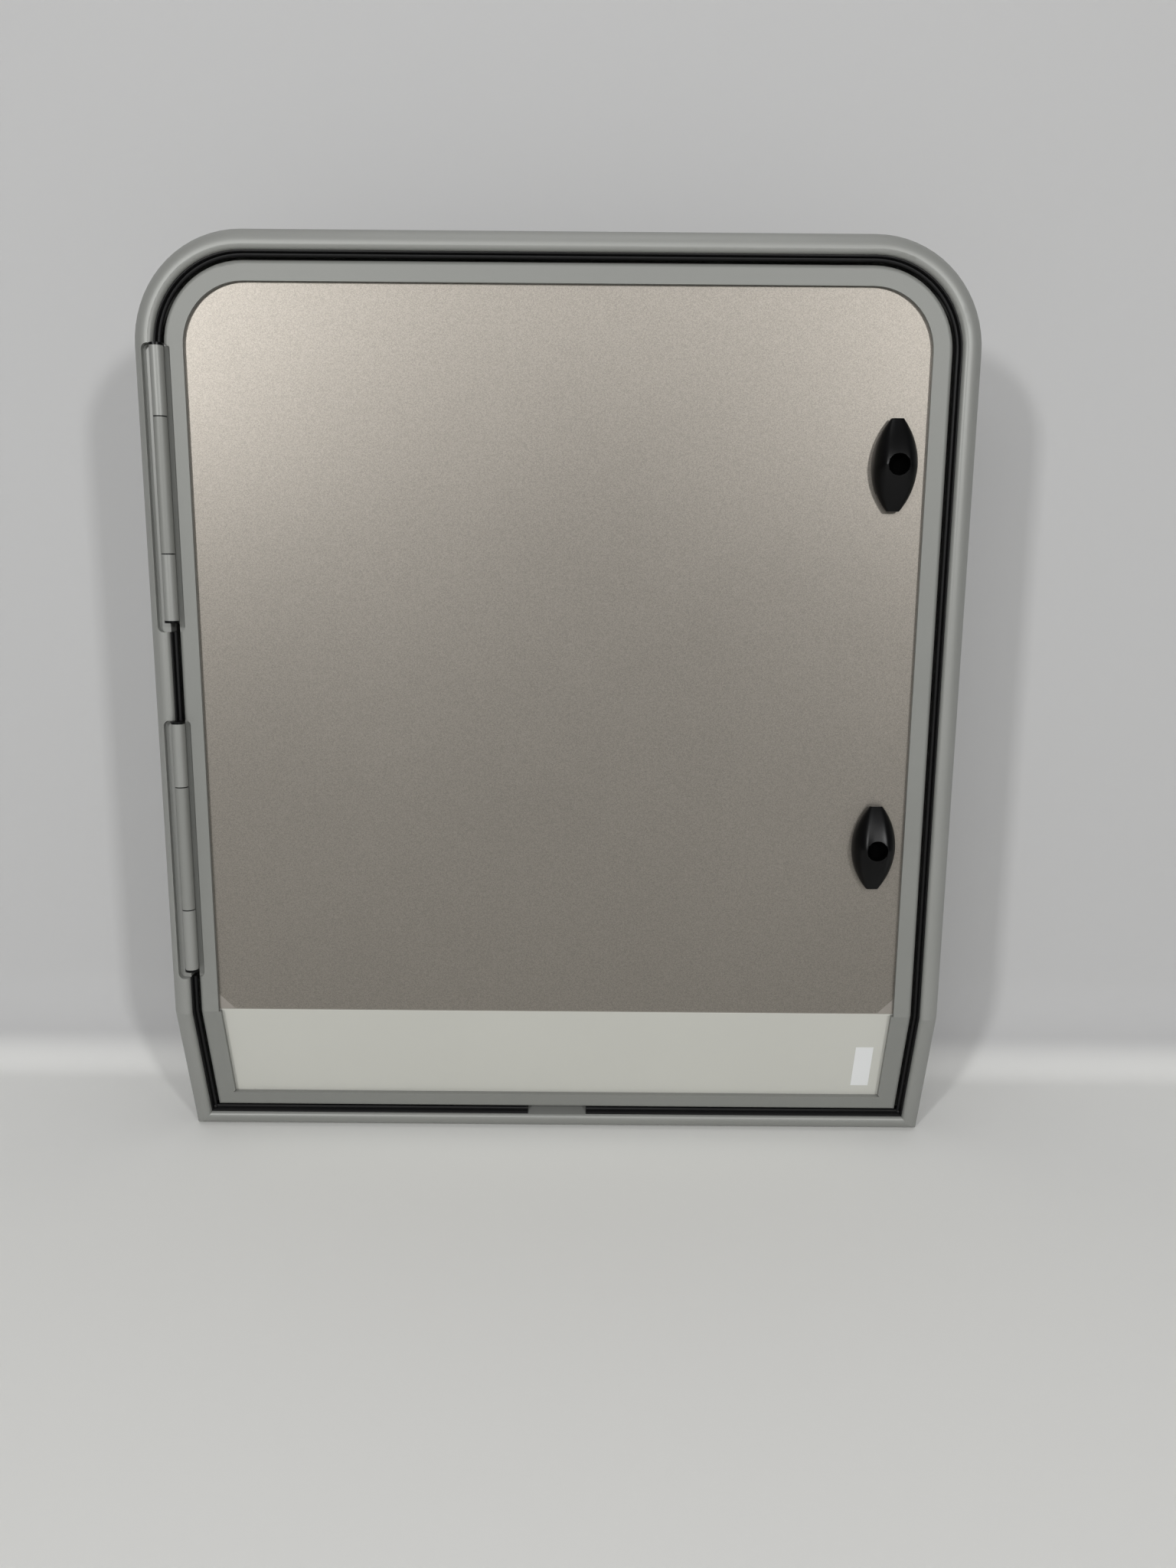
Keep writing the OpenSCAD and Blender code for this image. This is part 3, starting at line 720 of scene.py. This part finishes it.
@dataclass
class Surround:
    """The fixed frame: rails, seals, cleats and its side of the hinges."""

    seal: GapSeal = field(default_factory=GapSeal)

    def build(self, shop: Workshop) -> None:
        """Dresses the CAD nodes and adds the weather seal.

        Args:
            shop: The workshop.
        """
        colours = shop.palette
        shop.dress(colours.frame_coat, "frame_hoop", "frame_sill")
        shop.dress(colours.mill, "frame_cleat_left", "frame_cleat_right")
        shop.dress(colours.rubber, "stop_seal")
        for hinge in ("hinge_upper", "hinge_lower"):
            shop.dress(colours.frame_coat, f"{hinge}_frame_wing")
            shop.dress(colours.zinc, f"{hinge}_pin", f"{hinge}_frame_screws")
            shop.dress(colours.moulding, f"{hinge}_washers", f"{hinge}_caps")
        self.seal.build(shop)


@dataclass(frozen=True)
class Lamp:
    """A rectangular lamp: its place, what it points at, its power in watts, and its size."""

    name: str
    place: Point
    aim: Point
    power: float
    wide: float
    tall: float

    def hang(self) -> None:
        """Puts the lamp into the scene."""
        data = bpy.data.lights.new(self.name, "AREA")
        data.shape = "RECTANGLE"
        data.energy = self.power
        data.size = self.wide
        data.size_y = self.tall
        lamp = bpy.data.objects.new(self.name, data)
        lamp.location = self.place
        lamp.rotation_mode = "QUATERNION"
        way = Vector(self.aim) - Vector(self.place)
        lamp.rotation_quaternion = way.to_track_quat("-Z", "Y")
        bpy.context.scene.collection.objects.link(lamp)


@dataclass
class Studio:
    """The plain sweep, the lamps, the surrounding light and the photograph's camera."""

    wall: float = 0.225
    sweep: float = 0.09
    half_width: float = 3.2
    front: float = -3.0
    top: float = 2.4
    camera_place: Point = (0.027, -1.024, -0.25175)
    camera_turn: Point = (10.90, -0.03, 0.47)
    lens: float = 27.0
    sensor: float = 36.0
    below_part: float = 0.0005
    backdrop_tone: Colour = (0.49, 0.49, 0.49)
    room_strength: float = 0.28
    room_stops: tuple[tuple[float, Colour], ...] = (
        (0.0, (0.07, 0.07, 0.07)), (0.45, (0.08, 0.079, 0.077)),
        (0.66, (0.42, 0.42, 0.42)), (1.0, (0.6, 0.6, 0.6)))
    lamps: tuple[Lamp, ...] = (
        Lamp("left_box", (-2.15, -4.1, 0.9), (0, 0, -0.35), 67.0, 0.3, 0.4),
        Lamp("right_box", (2.15, -4.1, 0.9), (0, 0, -0.35), 66.0, 0.3, 0.4),
        Lamp("ceiling", (0, -0.6, 1.7), (0, -0.6, -0.8), 6.0, 1.2, 1.2),
        Lamp("wash", (-0.3, -3.0, 1.15), (0, 0, -0.2), 28.0, 2.4, 0.45))

    def sheet(self) -> None:
        """One sheet for floor and wall, with a round sweep between them."""
        floor = CAD_BOX[0].z - self.below_part
        left, turn = -self.half_width, self.wall - self.sweep
        mesh = bmesh.new()
        start = mesh.verts.new((left, self.front, floor))
        end = mesh.verts.new((left, turn, floor))
        mesh.edges.new((start, end))
        bmesh.ops.spin(mesh, geom=[end], cent=(left, turn, floor + self.sweep), axis=(1, 0, 0),
                       angle=math.radians(90), steps=16, use_merge=False)
        tip = max(mesh.verts, key=lambda vertex: vertex.co.y + vertex.co.z)
        rise = bmesh.ops.extrude_vert_indiv(mesh, verts=[tip])["verts"]
        bmesh.ops.translate(mesh, verts=rise, vec=(0, 0, self.top - tip.co.z))
        wide = bmesh.ops.extrude_edge_only(mesh, edges=mesh.edges[:])["geom"]
        bmesh.ops.translate(mesh, verts=[v for v in wide if isinstance(v, bmesh.types.BMVert)],
                            vec=(2 * self.half_width, 0, 0))
        data = bpy.data.meshes.new("sweep")
        mesh.to_mesh(data)
        mesh.free()
        data.shade_smooth()
        sheet = bpy.data.objects.new("sweep", data)
        bpy.context.scene.collection.objects.link(sheet)
        # The lighter floor of this finish is painted light; floor and wall are one sheet.
        finish = PaintedLightSweepFinish("backdrop", self.backdrop_tone, 0.75, 0.0, 300, 0.01, 0.00005, 1.2,
                             0.03, specular=0.1, level=floor)
        data.materials.append(finish.material())

    def surroundings(self) -> None:
        """A room that is lighter overhead than low down behind the camera."""
        world = bpy.data.worlds.new("room")
        bpy.context.scene.world = world
        world.use_nodes = True
        book = NodeBook(world.node_tree)
        way = book.add("ShaderNodeTexCoord", None, None, "Generated")
        rise = book.add("ShaderNodeSeparateXYZ", None, {"Vector": way}, "Z")
        stops = [(position, (*colour, 1.0)) for position, colour in self.room_stops]
        tone = book.add("ShaderNodeValToRGB", {"stops": stops}, {"Fac": rise * 0.5 + 0.5})
        light = book.add("ShaderNodeBackground", None, {
            "Color": tone, "Strength": self.room_strength})
        book.add("ShaderNodeOutputWorld", None, {"Surface": light})

    def camera(self) -> None:
        """Sets the camera where the photograph was taken from."""
        data = bpy.data.cameras.new("camera")
        data.sensor_width = self.sensor
        data.lens = self.lens
        data.clip_start = 0.01
        camera = bpy.data.objects.new("camera", data)
        turn = Euler([math.radians(angle) for angle in self.camera_turn], "XYZ").to_matrix()
        upright = Matrix(((1, 0, 0), (0, 0, -1), (0, 1, 0)))
        camera.rotation_mode = "QUATERNION"
        camera.rotation_quaternion = (
            (turn @ upright).transposed() @ Matrix.Diagonal((1, -1, -1))).to_quaternion()
        camera.location = self.camera_place
        bpy.context.scene.collection.objects.link(camera)
        bpy.context.scene.camera = camera

    def build(self) -> None:
        """Sets up sheet, lamps, room and camera."""
        bpy.context.scene.view_settings.view_transform = "Standard"
        self.sheet()
        for lamp in self.lamps:
            lamp.hang()
        self.surroundings()
        self.camera()


def main() -> None:
    """Builds the studio and every sub-assembly of the door in turn."""
    logging.basicConfig(level=logging.INFO, format="%(message)s")
    Studio().build()
    shop = Workshop(Palette())
    Surround().build(shop)
    Leaf().build(shop)


if __name__ == "__main__":
    main()
